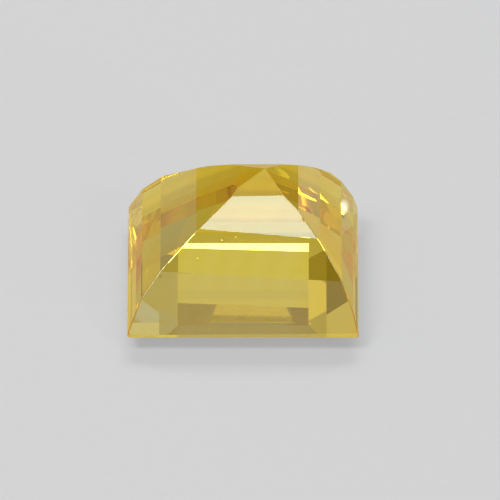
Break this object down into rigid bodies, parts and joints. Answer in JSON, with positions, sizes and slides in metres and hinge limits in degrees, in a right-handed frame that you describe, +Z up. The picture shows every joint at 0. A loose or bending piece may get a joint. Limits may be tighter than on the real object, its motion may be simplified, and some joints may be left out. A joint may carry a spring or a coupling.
{
  "type": "yellow sapphire",
  "caption": "Loose square step-cut yellow sapphire, clear golden crystal with flat polished facets, lying on its table with the point up.",
  "frame": {"origin": "middle of the girdle square, down on the surface that the table lies on", "axes": "+Z up through the pavilion towards the point, -Y the front that faces the camera, +X the right side"},
  "size_m": [0.004, 0.004, 0.0025],
  "materials": {
    "sapphire": "clear yellow corundum, polished facets"
  },
  "bodies": {
    "root": {"sapphire": "sapphire"}
  },
  "joints": []
}
